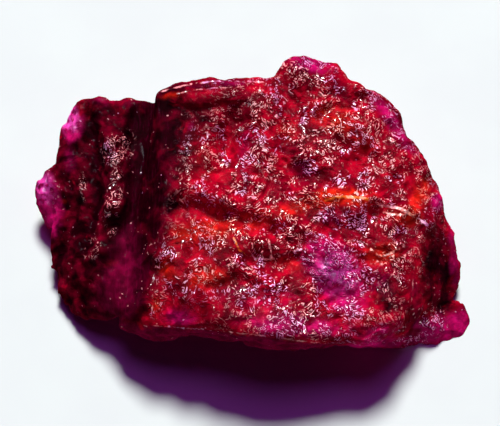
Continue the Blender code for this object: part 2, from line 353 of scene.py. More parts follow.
ZONE_PATCHES = {
    Zone.SIDE: PLUM_PATCHES,
    Zone.EMBER: EMBER_PATCHES,
    Zone.MAGENTA: MAGENTA_PATCHES,
    Zone.ORCHID: ORCHID_PATCHES,
    Zone.WINE: WINE_PATCHES,
    Zone.GLINT: GLINT_PATCHES,
    Zone.SATIN: SATIN_PATCHES,
    Zone.GOLD: GOLD_STREAKS,
    Zone.PAINTED_HIGHLIGHT: PAINTED_HIGHLIGHT_STREAKS,
}
THIN_ZONES = (Zone.GOLD, Zone.PAINTED_HIGHLIGHT)


@dataclass(frozen=True)
class Band:
    """A smooth step: as a value passes from low to high, the result passes from before to after.

    Attributes:
        low: Where the step starts.
        high: Where it ends. It may lie below low.
        before: The result at low, and on its far side.
        after: The result at high, and on its far side.
    """

    low: float
    high: float
    before: float = 0.0
    after: float = 1.0


@dataclass(frozen=True)
class Grain:
    """A noise pattern.

    Attributes:
        size_mm: The size of its blotches.
        detail: Its octaves.
        swirl: How much it swirls.
    """

    size_mm: float
    detail: float = 2.0
    swirl: float = 0.0


@dataclass(frozen=True)
class Mottle:
    """A noise pattern seen through a smooth step.

    Attributes:
        grain: The pattern.
        band: The step.
    """

    grain: Grain
    band: Band


class Sum(Enum):
    """The sums that the finishes need, as the Math node calls them."""

    TIMES = "MULTIPLY"
    TIMES_PLUS = "MULTIPLY_ADD"
    LESS = "SUBTRACT"
    LARGER = "MAXIMUM"
    FOLDED = "PINGPONG"


class Blend(Enum):
    """How one colour goes over another, as the Mix node calls it."""

    COVER = "MIX"
    TINT = "MULTIPLY"


class NodeBench:
    """A node tree being wired: adds nodes and joins them with little writing.

    Attributes:
        MIX_SOCKETS: Where the Mix node takes its share and its two colours.
        MIXED: Where it gives the mixed colour.
        SWIRL_DETAIL: Octaves of the noise that moves places about.
    """

    MIX_SOCKETS = (0, 6, 7)
    MIXED = 2
    SWIRL_DETAIL = 0.5

    def __init__(self, tree: bpy.types.NodeTree) -> None:
        """Takes the tree that the nodes go into."""
        self.tree = tree

    @cached_property
    def place(self) -> Socket:
        """Returns the object coordinates, from a node that is added when they are first asked for."""
        return self.add("TexCoord").outputs["Object"]

    def add(self, kind: str, **settings: object) -> bpy.types.Node:
        """Adds a node.

        Args:
            kind: Its type, without the ShaderNode before it.
            settings: Its own settings, by name.

        Returns:
            The new node.
        """
        made = self.tree.nodes.new("ShaderNode" + kind)
        for name, value in settings.items():
            setattr(made, name, value)
        return made

    def feed(self, socket: Socket, source: object) -> None:
        """Links a socket to another one, or sets it to a plain value.

        Args:
            socket: The input that is fed.
            source: An output socket, a number, or a tuple.
        """
        if isinstance(source, Socket):
            self.tree.links.new(source, socket)
        else:
            socket.default_value = source

    def sum(self, operation: Sum, *sources: object, clamp: bool = False) -> Socket:
        """Adds a sum.

        Args:
            operation: Which one.
            sources: Its inputs, as sockets or numbers.
            clamp: Whether the result is kept between 0 and 1.

        Returns:
            The result's socket.
        """
        made = self.add("Math", operation=operation.value, use_clamp=clamp)
        for socket, source in zip(made.inputs, sources):
            self.feed(socket, source)
        return made.outputs[0]

    def times(self, value: object, factor: object, clamp: bool = False) -> Socket:
        """Returns a value times a factor."""
        return self.sum(Sum.TIMES, value, factor, clamp=clamp)

    def plus(self, value: object, added: object, share: object) -> Socket:
        """Returns a value plus a share of another one."""
        return self.sum(Sum.TIMES_PLUS, added, share, value)

    def larger(self, one: object, other: object) -> Socket:
        """Returns the larger of two values."""
        return self.sum(Sum.LARGER, one, other)

    def ramp(self, source: object, band: Band) -> Socket:
        """Takes a value through a smooth step.

        Args:
            source: The value.
            band: The step.

        Returns:
            The result's socket.
        """
        made = self.add("MapRange", interpolation_type="SMOOTHSTEP")
        names = ("Value", "From Min", "From Max", "To Min", "To Max")
        for name, value in zip(names, (source, band.low, band.high, band.before, band.after)):
            self.feed(made.inputs[name], value)
        return made.outputs["Result"]

    def mix(self, share: object, below: object, above: object, blend: Blend = Blend.COVER) -> Socket:
        """Mixes two colours.

        Args:
            share: How much of the second one.
            below: The first colour.
            above: The second colour.
            blend: How they blend.

        Returns:
            The mixed colour's socket.
        """
        made = self.add("Mix", data_type="RGBA", blend_type=blend.value, clamp_factor=True)
        for socket, source in zip(self.MIX_SOCKETS, (share, below, above)):
            self.feed(made.inputs[socket], source)
        return made.outputs[self.MIXED]

    def _noise_node(self, grain: Grain, place: Socket | None) -> bpy.types.Node:
        """Adds a noise texture.

        Args:
            grain: Its pattern.
            place: Where it is read, if not at the object coordinates.

        Returns:
            Its node.
        """
        made = self.add("TexNoise")
        self.feed(made.inputs["Vector"], self.place if place is None else place)
        made.inputs["Scale"].default_value = 1 / (grain.size_mm * MM)
        made.inputs["Detail"].default_value = grain.detail
        made.inputs["Distortion"].default_value = grain.swirl
        return made

    def noise(self, grain: Grain, place: Socket | None = None) -> Socket:
        """Returns the value of a noise pattern."""
        return self._noise_node(grain, place).outputs[0]

    def mottle(self, mottle: Mottle) -> Socket:
        """Returns a noise pattern seen through its smooth step."""
        return self.ramp(self.noise(mottle.grain), mottle.band)

    def swirled(self, place: Socket, size_mm: float, reach_mm: float) -> Socket:
        """Moves places about by a noise, so that what is read there bends.

        Args:
            place: The places.
            size_mm: The size of the swirls.
            reach_mm: How far apart the noise moves two places at most.

        Returns:
            The moved places' socket.
        """
        drift = self._noise_node(Grain(size_mm, self.SWIRL_DETAIL), place).outputs["Color"]
        moved = self.add("VectorMath", operation="MULTIPLY_ADD")
        for socket, source in zip(moved.inputs, (drift, (reach_mm * MM,) * 3, place)):
            self.feed(socket, source)
        return moved.outputs[0]

    def laid_flat(self) -> Socket:
        """Turns the object coordinates so that the layout plane lies along X and Y.

        Returns:
            The turned places' socket.
        """
        made = self.add("Mapping", vector_type="POINT")
        self.feed(made.inputs["Vector"], self.place)
        made.inputs["Rotation"].default_value = (math.radians(-PLANE.rise_deg), 0, 0)
        return made.outputs[0]

    def stored(self, zone: Zone) -> Socket:
        """Returns the value of one of the skin's own attributes."""
        return self.add("Attribute", attribute_name=zone.value).outputs["Fac"]


@dataclass(frozen=True)
class CrinkleGroup:
    """The fine crinkle of broken beryl: a node group of swirling, worm-like ridges that ring small lumps.

    Attributes:
        name: The group's name.
        lump_mm: Spacing of the lumps that the ridges ring.
        ridge_mm: Spacing of the ridges.
        swirls_mm: Spacing and reach of the swirls that bend the ridges, coarse ones first.
        line: How far from a ridge's middle the highlight painted on its top reaches, fully and at most, in
            ridge spacings.
        foot: How far from a ridge's middle the shade painted at its foot starts, is full, fades and ends.
        half_way: How far from a ridge's middle its sides reach.
    """

    name: str = "beryl crinkle"
    lump_mm: float = 0.52
    ridge_mm: float = 0.19
    swirls_mm: tuple[tuple[float, float], ...] = ((1.5, 1.3), (0.30, 0.34))
    line: tuple[float, float] = (0.12, 0.21)
    foot: tuple[float, float, float, float] = (0.16, 0.28, 0.38, 0.50)
    half_way: float = 0.5

    def tree(self) -> bpy.types.NodeTree:
        """Builds the group.

        Returns:
            The group, with outputs Height, Line for the highlight painted on ridge tops, and Foot for the
            shade painted at their feet.
        """
        tree = bpy.data.node_groups.new(self.name, "ShaderNodeTree")
        for output in ("Height", "Line", "Foot"):
            tree.interface.new_socket(name=output, in_out="OUTPUT", socket_type="NodeSocketFloat")
        bench = NodeBench(tree)
        place = bench.laid_flat()
        for size, reach in self.swirls_mm:
            place = bench.swirled(place, size, reach)
        lumps = bench.add("TexVoronoi", voronoi_dimensions="2D")
        bench.feed(lumps.inputs["Vector"], place)
        lumps.inputs["Scale"].default_value = 1 / (self.lump_mm * MM)
        rings = bench.plus(self.half_way, lumps.outputs["Distance"], self.lump_mm / self.ridge_mm)
        off_ridge = bench.sum(Sum.FOLDED, rings, self.half_way)
        narrow, wide = self.line
        start, full, fading, end = self.foot
        foot_begins = bench.ramp(off_ridge, Band(start, full))
        foot_ends = bench.ramp(off_ridge, Band(end, fading))
        out = tree.nodes.new("NodeGroupOutput")
        bench.feed(out.inputs["Height"], bench.times(off_ridge, -1.0))
        bench.feed(out.inputs["Line"], bench.ramp(off_ridge, Band(wide, narrow)))
        bench.feed(out.inputs["Foot"], bench.times(foot_begins, foot_ends))
        return tree


CRINKLE = CrinkleGroup()
LEDGES = CrinkleGroup(name="beryl ledges", lump_mm=2.6, ridge_mm=1.2, swirls_mm=((3.2, 2.6), (1.0, 0.7)))


class StoneBench(NodeBench):
    """A bench for the stone's material, with the crinkles and the ledges that its effects share."""

    def __init__(self, tree: bpy.types.NodeTree) -> None:
        """Takes the material's tree, and places both groups in it."""
        super().__init__(tree)
        self.crinkle = self.add("Group", node_tree=CRINKLE.tree())
        self.ledges = self.add("Group", node_tree=LEDGES.tree())


@dataclass(frozen=True)
class BerylPalette:
    """The stone's colours.

    Attributes:
        crimson: The body's colour.
        deep: The body's colour where it is deeper.
        ember: Orange-red where light comes through.
        magenta: Where the stone is bruised, its own colour; where it is thin, it stands in for light coming
            through as well.
        orchid: Painted light: bright spots on the beads, and a lift where the dome lies in shade.
        wine: The darkest zone: partly darker stone, partly painted shade on faces turned from the light and
            in recesses.
        claret: The blotches in it.
        plum: Painted shade on the sides, where the face falls away, such as the front wall and the flanks.
        blush: The highlights painted on most crinkle tops.
        lilac: The highlights painted on the other tops, and the brightest painted spots of the orchid zone.
        peach: The highlights painted on tops where it is ember.
        gold: A few streaks where light runs along a ledge.
        crease: The shade painted at the feet of the crinkles.
    """

    crimson: Colour = (0.38, 0.0011, 0.014, 1)
    deep: Colour = (0.15, 0.0003, 0.008, 1)
    ember: Colour = (0.66, 0.014, 0.005, 1)
    magenta: Colour = (0.43, 0.003, 0.095, 1)
    orchid: Colour = (0.95, 0.07, 0.50, 1)
    wine: Colour = (0.014, 0.0, 0.002, 1)
    claret: Colour = (0.115, 0.0005, 0.009, 1)
    plum: Colour = (0.130, 0.0011, 0.021, 1)
    blush: Colour = (1.0, 0.32, 0.36, 1)
    lilac: Colour = (0.92, 0.33, 0.70, 1)
    peach: Colour = (1.0, 0.36, 0.18, 1)
    gold: Colour = (1.0, 0.20, 0.03, 1)
    crease: Colour = (0.045, 0.0, 0.003, 1)


PALETTE = BerylPalette()


@dataclass(frozen=True)
class BodyColour:
    """The stone's colour: clouded crimson, with ragged zones laid over it, some of them painted light and
    shade.

    Attributes:
        clouds: Where the body is crimson and where it is deep.
        blotches: The grain of the claret in the wine zone.
        blotch_lift: How much more claret there is for each millimetre that a lump stands out, so that
            hollows are painted darker, as shade.
        blotch_calm: How much less of it there is where it is satin.
        blotch_band: From which value on it is claret.
        ragged: The grain of the zones' edges.
        ragged_middle: The middle of its values.
        raggedness: How far it moves the edges in and out.
        wine_band: From which weight on the wine zone covers the body, and from which fully.
        side_band: The same for the sides' painted shade.
        ember_band: The same for the ember zone.
        magenta_band: The same for the magenta zone.
        mottling: How much lighter or darker each spot of the body and its zones is.
        spots: The grain of the orchid zone's painted light.
        orchid_band: From which value on it is orchid.
        lilac_band: From which value on it is lilac.
    """

    clouds: Mottle = Mottle(Grain(2.6, 3.0), Band(0.38, 0.62))
    blotches: Grain = Grain(1.6, 2.5, 0.3)
    blotch_lift: float = 0.6
    blotch_calm: float = -0.13
    blotch_band: Band = Band(0.38, 0.66)
    ragged: Grain = Grain(1.1, 3.0, 0.6)
    ragged_middle: float = 0.5
    raggedness: float = 2.6
    wine_band: Band = Band(0.05, 1.0)
    side_band: Band = Band(0.05, 1.0)
    ember_band: Band = Band(0.05, 1.4)
    magenta_band: Band = Band(0.05, 1.2)
    mottling: Mottle = Mottle(Grain(0.75, 3.0), Band(0.36, 0.62, 0.56, 1.1))
    spots: Grain = Grain(0.6, 2.0, 0.4)
    orchid_band: Band = Band(0.38, 0.54)
    lilac_band: Band = Band(0.58, 0.70)

    def colour(self, bench: StoneBench) -> Socket:
        """Lays the zones over the clouded crimson, mottles them, and puts the orchid zone's spots of
        painted light on top.

        Args:
            bench: Where the nodes go.

        Returns:
            The colour's socket.
        """
        base = bench.mix(bench.mottle(self.clouds), PALETTE.deep, PALETTE.crimson)
        zones = (
            (Zone.WINE, self._wine(bench), self.wine_band),
            (Zone.SIDE, PALETTE.plum, self.side_band),
            (Zone.EMBER, PALETTE.ember, self.ember_band),
            (Zone.MAGENTA, PALETTE.magenta, self.magenta_band),
        )
        ragged = bench.sum(Sum.LESS, bench.noise(self.ragged), self.ragged_middle)
        edges = bench.plus(1.0, ragged, self.raggedness)
        for zone, colour, band in zones:
            weight = bench.times(bench.stored(zone), edges)
            base = bench.mix(bench.ramp(weight, band), base, colour)
        base = bench.mix(1.0, base, bench.mottle(self.mottling), Blend.TINT)
        # The orchid zone's spots are painted light: bright spots on the beads, and a lift of the dome's
        # shade.
        spots = bench.noise(self.spots)
        for band, colour in ((self.orchid_band, PALETTE.orchid), (self.lilac_band, PALETTE.lilac)):
            share = bench.times(bench.ramp(spots, band), bench.stored(Zone.ORCHID), clamp=True)
            base = bench.mix(share, base, colour)
        return base

    def _wine(self, bench: StoneBench) -> Socket:
        """Blotches the wine zone with claret, more on its lumps and less where it is satin, painting its
        hollows darker as shade.

        Args:
            bench: Where the nodes go.

        Returns:
            The colour's socket.
        """
        # More claret on lumps and less in hollows: painted shade in the hollows.
        blotches = bench.plus(bench.noise(self.blotches), bench.stored(Zone.SWELL), self.blotch_lift)
        blotches = bench.plus(blotches, bench.stored(Zone.SATIN), self.blotch_calm)
        return bench.mix(bench.ramp(blotches, self.blotch_band), PALETTE.wine, PALETTE.claret)


@dataclass(frozen=True)
class PaintedRidgeLightAndShade:
    """The crinkles' clusters, with their tops painted pale as highlights and their feet painted dark as
    shade.

    Attributes:
        clumps: The grain of the clusters.
        lump_share: How much of a lump's height, in millimetres, counts towards a cluster.
        ledge_share: How much of a ledge's height counts towards one.
        cluster_band: From which value on there is a cluster.
        glint_band: From which weight of the glint zone on its ridges show.
        foot_least: How much shade is painted at the feet outside the clusters.
        foot_gain: How much more is painted at them inside the clusters.
        dashes: Where the tops are pale, which breaks them into dashes.
        breaks: Where the streaks of painted highlight show.
        specks: The grain of the specks strewn between the clusters, painted on as tiny glints.
        speck_clouds: The grain of the clouds that they gather in.
        speck_cloud_share: How much those clouds count.
        speck_band: From which value on there is a speck, and how pale it is.
        tint: The grain of the tops' colour, from blush to lilac.
        tint_magenta: How much the magenta zone turns it towards lilac.
        tint_wine: How much the wine zone turns it away from lilac.
        lilac_band: From which value on it is lilac.
        peach_band: From which weight of the ember zone on it is peach, and how much of that.
    """

    clumps: Grain = Grain(1.15, 1.5, 0.5)
    lump_share: float = 0.5
    ledge_share: float = 0.6
    cluster_band: Band = Band(0.26, 0.43)
    glint_band: Band = Band(0.1, 1.2)
    foot_least: float = 0.03
    foot_gain: float = 0.50
    dashes: Mottle = Mottle(Grain(0.34, 1.0), Band(0.45, 0.53))
    breaks: Mottle = Mottle(Grain(0.5, 1.0), Band(0.36, 0.55))
    specks: Grain = Grain(0.24, 0.0)
    speck_clouds: Grain = Grain(1.6, 1.0)
    speck_cloud_share: float = 0.4
    speck_band: Band = Band(1.00, 1.06, 0.0, 0.45)
    tint: Grain = Grain(2.3, 1.0)
    tint_magenta: float = 0.3
    tint_wine: float = -0.07
    lilac_band: Band = Band(0.50, 0.62)
    peach_band: Band = Band(0.1, 0.9, 0.0, 0.6)

    def clusters(self, bench: StoneBench) -> Socket:
        """Gathers the crinkles in clusters, on lumps and ledges of the parts that glint.

        Args:
            bench: Where the nodes go.

        Returns:
            How crinkled each point is.
        """
        gathered = bench.plus(bench.noise(self.clumps), bench.stored(Zone.SWELL), self.lump_share)
        gathered = bench.plus(gathered, bench.ledges.outputs["Height"], self.ledge_share)
        glinting = bench.ramp(bench.stored(Zone.GLINT), self.glint_band)
        return bench.times(bench.ramp(gathered, self.cluster_band), glinting)

    def feet(self, bench: StoneBench, clusters: Socket) -> Socket:
        """Returns how much painted shade each point gets at a ridge's foot."""
        darkness = bench.plus(self.foot_least, clusters, self.foot_gain)
        return bench.times(bench.crinkle.outputs["Foot"], darkness)

    def tops(self, bench: StoneBench, clusters: Socket, streaks: Socket) -> Socket:
        """Finds what is painted pale as highlight: the ridge tops in the clusters, the streaks, and the
        strewn specks.

        Args:
            bench: Where the nodes go.
            clusters: How crinkled each point is.
            streaks: The unbroken streaks of painted highlight.

        Returns:
            How much painted highlight each point has.
        """
        dashes = bench.times(bench.mottle(self.dashes), clusters)
        dashes = bench.times(bench.crinkle.outputs["Line"], dashes)
        broken = bench.times(streaks, bench.mottle(self.breaks))
        clouds = bench.noise(self.speck_clouds)
        specks = bench.plus(bench.noise(self.specks), clouds, self.speck_cloud_share)
        return bench.larger(bench.larger(dashes, broken), bench.ramp(specks, self.speck_band))

    def colour(self, bench: StoneBench) -> Socket:
        """Colours the painted highlights: blush, lilac by the magenta zones, and peach by the ember ones.

        Args:
            bench: Where the nodes go.

        Returns:
            The colour's socket.
        """
        tint = bench.plus(bench.noise(self.tint), bench.stored(Zone.MAGENTA), self.tint_magenta)
        tint = bench.plus(tint, bench.stored(Zone.WINE), self.tint_wine)
        painted_highlight = bench.mix(bench.ramp(tint, self.lilac_band), PALETTE.blush, PALETTE.lilac)
        return bench.mix(bench.ramp(bench.stored(Zone.EMBER), self.peach_band), painted_highlight, PALETTE.peach)


@dataclass(frozen=True)
class ThinStreaks:
    """The thin, slightly wavering lines in the middle of a zone's streaks.

    Attributes:
        waver: The grain of their wavering.
        waver_share: How much it counts.
        band: From which weight of the zone on there is a line.
    """

    waver: Grain = Grain(0.4, 1.0)
    waver_share: float = 0.16
    band: Band = Band(0.93, 1.03)

    def lines(self, bench: StoneBench, zone: Zone) -> Socket:
        """Returns the lines of one zone's streaks."""
        wavering = bench.plus(bench.stored(zone), bench.noise(self.waver), self.waver_share)
        return bench.ramp(wavering, self.band)


@dataclass(frozen=True)
class Striations:
    """The hair-thin striations that run down the satin flanks.

    Attributes:
        turn_deg: Their turn on the layout plane.
        stretch: How much they are drawn out, along the plane's axes.
        hair: Their grain.
        band: From which value on a hair shows as colour.
        strength: How much it shows where it is satin.
    """

    turn_deg: float = 16.0
    stretch: tuple[float, float, float] = (1, 0.14, 0.4)
    hair: Grain = Grain(0.16, 2.0)
    band: Band = Band(0.52, 0.70)
    strength: float = 0.05

    def hairs(self, bench: StoneBench) -> Socket:
        """Draws out a noise into hairs.

        Args:
            bench: Where the nodes go.

        Returns:
            The hairs' value.
        """
        stretched = bench.add("Mapping", vector_type="POINT")
        bench.feed(stretched.inputs["Vector"], bench.laid_flat())
        stretched.inputs["Rotation"].default_value = (0, 0, math.radians(self.turn_deg))
        stretched.inputs["Scale"].default_value = self.stretch
        return bench.noise(self.hair, stretched.outputs[0])

    def share(self, bench: StoneBench, hairs: Socket) -> Socket:
        """Returns how much of the hairs' own colour shows at each point."""
        satin = bench.times(bench.stored(Zone.SATIN), self.strength)
        return bench.times(bench.ramp(hairs, self.band), satin)


@dataclass(frozen=True)
class FineRelief:
    """The finest relief: ledges and crinkles, and hair-thin striations where it is satin.

    Attributes:
        depth_mm: Its depth.
        crinkle_band: How much of the crinkles there is, from outside a cluster to inside it.
        ledge_share: How deep the ledges are beside the crinkles.
        hair_share: How deep the striations are beside them.
        calm_band: How much of the ledges and crinkles is left where it is satin.
    """

    depth_mm: float = 0.16
    crinkle_band: Band = Band(0.0, 1.0, 0.2, 1.0)
    ledge_share: float = 1.5
    hair_share: float = 0.15
    calm_band: Band = Band(0.2, 1.0, 1.0, 0.15)

    def normal(self, bench: StoneBench, hairs: Socket, clusters: Socket) -> Socket:
        """Makes the relief.

        Args:
            bench: Where the nodes go.
            hairs: The striations' hairs.
            clusters: How crinkled each point is.

        Returns:
            The normal's socket.
        """
        satin = bench.stored(Zone.SATIN)
        crinkled = bench.times(bench.crinkle.outputs["Height"], bench.ramp(clusters, self.crinkle_band))
        crinkled = bench.plus(crinkled, bench.ledges.outputs["Height"], self.ledge_share)
        striated = bench.times(hairs, bench.times(satin, self.hair_share))
        bump = bench.add("Bump")
        bump.inputs["Strength"].default_value = 1.0
        bump.inputs["Distance"].default_value = self.depth_mm * MM
        bench.feed(bump.inputs["Height"], bench.plus(striated, crinkled, bench.ramp(satin, self.calm_band)))
        return bump.outputs["Normal"]


@dataclass(frozen=True)
class BerylFinish:
    """Glossy crimson beryl: colour zones, crinkles with painted highlights and shade, striations, and
    painted light from inside.

    Attributes:
        body: The stone's colour, with zones of painted light and shade in it.
        ridges: The crinkles, with their painted highlights and shade.
        streaks: The thin streaks of painted highlight, pale and gold.
        striations: The striations of the flanks.
        relief: The finest relief.
        sheen: How glassy the surface is, by the weight of the glint zone.
        highlight_shine: How glassy the tops and streaks painted as highlights are, pale and gold.
        coat_roughness: How blurred that gloss is.
        coat_index: How strongly it mirrors, as the coat's refractive index.
        beryl_index: The refractive index of beryl.
        glow: How much of its own colour the body gives off as emission: painted light, standing in for
            light coming through the stone.
        hollows: How many times as much of that painted light hollows give off, by how many millimetres they
            lie below 0, which lifts their shade.
        scatter: How much of the light scatters under the surface.
        scatter_colours: How far the red, green and blue of it go.
        scatter_mm: How far that is at most.
    """

    body: BodyColour = BodyColour()
    ridges: PaintedRidgeLightAndShade = PaintedRidgeLightAndShade()
    streaks: ThinStreaks = ThinStreaks()
    striations: Striations = Striations()
    relief: FineRelief = FineRelief()
    sheen: Band = Band(0.1, 1.0, 0.004, 0.018)
    highlight_shine: float = 0.9
    coat_roughness: float = 0.10
    coat_index: float = 1.5
    beryl_index: float = 1.577
    glow: float = 0.15
    hollows: Band = Band(0.0, -0.4, 1.0, 3.0)
    scatter: float = 0.12
    scatter_colours: tuple[float, float, float] = (1.0, 0.05, 0.1)
    scatter_mm: float = 0.8

    def material(self) -> bpy.types.Material:
        """Builds the material.

        Returns:
            The finished material.
        """
        made = bpy.data.materials.new("crimson beryl")
        made.use_nodes = True
        bench = StoneBench(made.node_tree)
        shader = made.node_tree.nodes["Principled BSDF"]
        hairs = self.striations.hairs(bench)
        clusters = self.ridges.clusters(bench)
        tops = self.ridges.tops(bench, clusters, self.streaks.lines(bench, Zone.PAINTED_HIGHLIGHT))
        gold = self.streaks.lines(bench, Zone.GOLD)
        body = self.body.colour(bench)
        base = bench.mix(self.striations.share(bench, hairs), body, PALETTE.magenta)
        # Painted shade at the crinkles' feet.
        base = bench.mix(self.ridges.feet(bench, clusters), base, PALETTE.crease)
        # Painted highlights: the pale crinkle tops, streaks and specks, then the gold streaks.
        base = bench.mix(tops, base, self.ridges.colour(bench))
        bench.feed(shader.inputs["Base Color"], bench.mix(gold, base, PALETTE.gold))
        bench.feed(shader.inputs["Normal"], self.relief.normal(bench, hairs, clusters))
        self._gloss(bench, shader, bench.larger(tops, gold))
        self._painted_glow(bench, shader, body)
        return made

    def _gloss(self, bench: StoneBench, shader: bpy.types.Node, shine: Socket) -> None:
        """Gives the stone its glassy surface.

        Args:
            bench: Where the nodes go.
            shader: The material's shader.
            shine: Where highlights are painted, pale and gold.
        """
        sheen = bench.ramp(bench.stored(Zone.GLINT), self.sheen)
        bench.feed(shader.inputs["Coat Weight"], bench.plus(sheen, shine, self.highlight_shine))
        shader.inputs["Coat Roughness"].default_value = self.coat_roughness
        shader.inputs["Coat IOR"].default_value = self.coat_index
        shader.inputs["IOR"].default_value = self.beryl_index
        shader.inputs["Specular IOR Level"].default_value = 0.0

    def _painted_glow(self, bench: StoneBench, shader: bpy.types.Node, body: Socket) -> None:
        """Lets light scatter under the surface, and paints light on the body by emission in its own colour,
        most in hollows.

        Args:
            bench: Where the nodes go.
            shader: The material's shader.
            body: The body's colour.
        """
        # Painted light: emission in the body's own colour, stronger in hollows to lift their shade.
        gain = bench.ramp(bench.stored(Zone.SWELL), self.hollows)
        bench.feed(shader.inputs["Emission Color"], bench.mix(1.0, body, gain, Blend.TINT))
        shader.inputs["Emission Strength"].default_value = self.glow
        shader.inputs["Subsurface Weight"].default_value = self.scatter
        shader.inputs["Subsurface Radius"].default_value = self.scatter_colours
        shader.inputs["Subsurface Scale"].default_value = self.scatter_mm * MM


@dataclass(frozen=True)
class FloorFinish:
    """A plain pale sheet, faintly clouded.

    Attributes:
        pale: Its colour.
        clouded: Its colour in the clouds.
        clouds: Where those are.
        roughness: How matt it is.
    """

    pale: Colour = (0.590, 0.630, 0.637, 1)
    clouded: Colour = (0.577, 0.612, 0.625, 1)
    clouds: Mottle = Mottle(Grain(9.0, 3.0), Band(0.35, 0.65))
    roughness: float = 0.8

    def material(self) -> bpy.types.Material:
        """Builds the material.

        Returns:
            The finished material.
        """
        made = bpy.data.materials.new("pale floor")
        made.use_nodes = True
        bench = NodeBench(made.node_tree)
        shader = made.node_tree.nodes["Principled BSDF"]
        colour = bench.mix(bench.mottle(self.clouds), self.pale, self.clouded)
        bench.feed(shader.inputs["Base Color"], colour)
        shader.inputs["Roughness"].default_value = self.roughness
        shader.inputs["Specular IOR Level"].default_value = 0.0
        return made


@dataclass
class CrystalSkin:
    """The lump's skin: the solid's own shape, refined and crinkled, with its zones of colour stored in it.

    Attributes:
        merge_mm: How near to each other two corners have to be to become one.
        join_bend: How far two triangles may bend, in radians, to be joined.
        join_skew: How far off a rectangle they may be together, in radians.
        levels: Rounds of subdivision.
        crease_from: How sharply an edge bends, in radians, before it stays crisp.
        crease_most: How crisp an edge stays at most.
        growth_mm: Outward, to make up for what subdivision takes off.
        crinkle_mm: Height of the crinkles that are real shape.
        crinkle_size_mm: Their spacing.
        crinkle_least: How much of that height there is where nothing glints.
        satin_calm: How much of it the satin zone takes off.
        warp_seed: Seed of the swirls that bend them. Unseeded ones would differ in every run.
        warp_scale: How coarse those swirls are, beside the crinkles.
        warp_reach: How far they bend them, in crinkle spacings.
        fine_scale: How fine the finer crinkles on them are.
        fine_share: How high those are beside them.
        ridge_top: How high a ridge's top is, in crinkle heights.
        ridge_slope: How steeply its sides fall.
        floor_band_mm: How far above the ground the skin's relief fades in.
        swell_rounds: Smoothing rounds that tell lumps from hollows.
        side_from: Outward part of a point's normal below which the side's painted shade begins.
        streaks_from: Outward part of a point's normal from which thin streaks show.
        streaks_gain: How fast they show from there on.
        finish: What the skin is made of.
    """

    merge_mm: float = 0.001
    join_bend: float = 0.4
    join_skew: float = 0.9
    levels: int = 2
    crease_from: float = 0.45
    crease_most: float = 0.7
    growth_mm: float = 0.03
    crinkle_mm: float = 0.14
    crinkle_size_mm: float = 0.95
    crinkle_least: float = 0.7
    satin_calm: float = 0.85
    warp_seed: int = 7
    warp_scale: float = 0.4
    warp_reach: float = 0.6
    fine_scale: float = 2.1
    fine_share: float = 0.5
    ridge_top: float = 0.5
    ridge_slope: float = 2.0
    floor_band_mm: float = 0.5
    swell_rounds: int = 60
    side_from: float = 0.25
    streaks_from: float = 0.3
    streaks_gain: float = 5.0
    finish: BerylFinish = field(default_factory=BerylFinish)

    def build(self) -> bpy.types.Object:
        """Builds and dresses the skin, and hangs it on the frame.

        Returns:
            The skin's object.
        """
        skin = bpy.data.objects.new("beryl_skin", self._refined_mesh())
        bpy.context.scene.collection.objects.link(skin)
        self._crinkle(skin.data)
        self._store_zones(skin.data)
        skin.data.shade_smooth()
        skin.data.materials.clear()
        skin.data.materials.append(self.finish.material())
        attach(skin, "root")
        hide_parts(NODE)
        return skin

    def _refined_mesh(self) -> bpy.types.Mesh:
        """Copies the solid, merges its loose triangles, and subdivides it smoothly.

        Returns:
            The refined mesh.
        """
        bm = bmesh.new()
        bm.from_mesh(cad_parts[NODE].data)
        bmesh.ops.remove_doubles(bm, verts=bm.verts, dist=self.merge_mm * MM)
        bmesh.ops.join_triangles(
            bm, faces=bm.faces, angle_face_threshold=self.join_bend, angle_shape_threshold=self.join_skew
        )
        crease = bm.edges.layers.float.new("crease_edge")
        for edge in bm.edges:
            edge[crease] = min(self.crease_most, max(0.0, edge.calc_face_angle() - self.crease_from))
        coarse = bpy.data.objects.new("coarse", bpy.data.meshes.new("coarse"))
        bpy.context.scene.collection.objects.link(coarse)
        bm.to_mesh(coarse.data)
        bm.free()
        refine = coarse.modifiers.new("refine", "SUBSURF")
        refine.levels = self.levels
        refine.render_levels = self.levels
        evaluated = coarse.evaluated_get(bpy.context.evaluated_depsgraph_get())
        mesh = bpy.data.meshes.new_from_object(evaluated)
        bpy.data.objects.remove(coarse)
        return mesh

    def _crinkle(self, mesh: bpy.types.Mesh) -> None:
        """Moves the skin's points out and in by the crinkles that are real shape.

        Args:
            mesh: The refined mesh.
        """
        noise.seed_set(self.warp_seed)
        low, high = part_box(NODE)
        places = PLANE.from_world(self._points(mesh))
        rough = np.clip(self._weight(Zone.GLINT, places), self.crinkle_least, 1)
        rough *= 1 - self.satin_calm * np.clip(self._weight(Zone.SATIN, places), 0, 1)
        for vertex, normal, share in zip(mesh.vertices, self._normals(mesh), rough):
            at = vertex.co / (self.crinkle_size_mm * MM)
            warped = at + noise.noise_vector(at * self.warp_scale) * self.warp_reach
            height = self._ridge(warped) + self.fine_share * self._ridge(warped * self.fine_scale)
            fade = min(1.0, max(0.0, vertex.co.z / (self.floor_band_mm * MM)))
            move = self.growth_mm + share * self.crinkle_mm * height
            vertex.co += Vector(normal) * move * fade * MM
            vertex.co = Vector(min(max(value, a), b) for value, a, b in zip(vertex.co, low, high))

    def _ridge(self, at: Vector) -> float:
        """Returns the height of a noise that is folded into ridges."""
        return self.ridge_top - self.ridge_slope * abs(noise.noise(at))

    def _store_zones(self, mesh: bpy.types.Mesh) -> None:
        """Stores the zones of colour and the lie of the surface in the mesh.

        Args:
            mesh: The crinkled mesh.
        """
        places = PLANE.from_world(self._points(mesh))
        values = {zone: self._weight(zone, places) for zone in ZONE_PATCHES}
        out = self._normals(mesh) @ np.array(PLANE.turn())[:, 2]
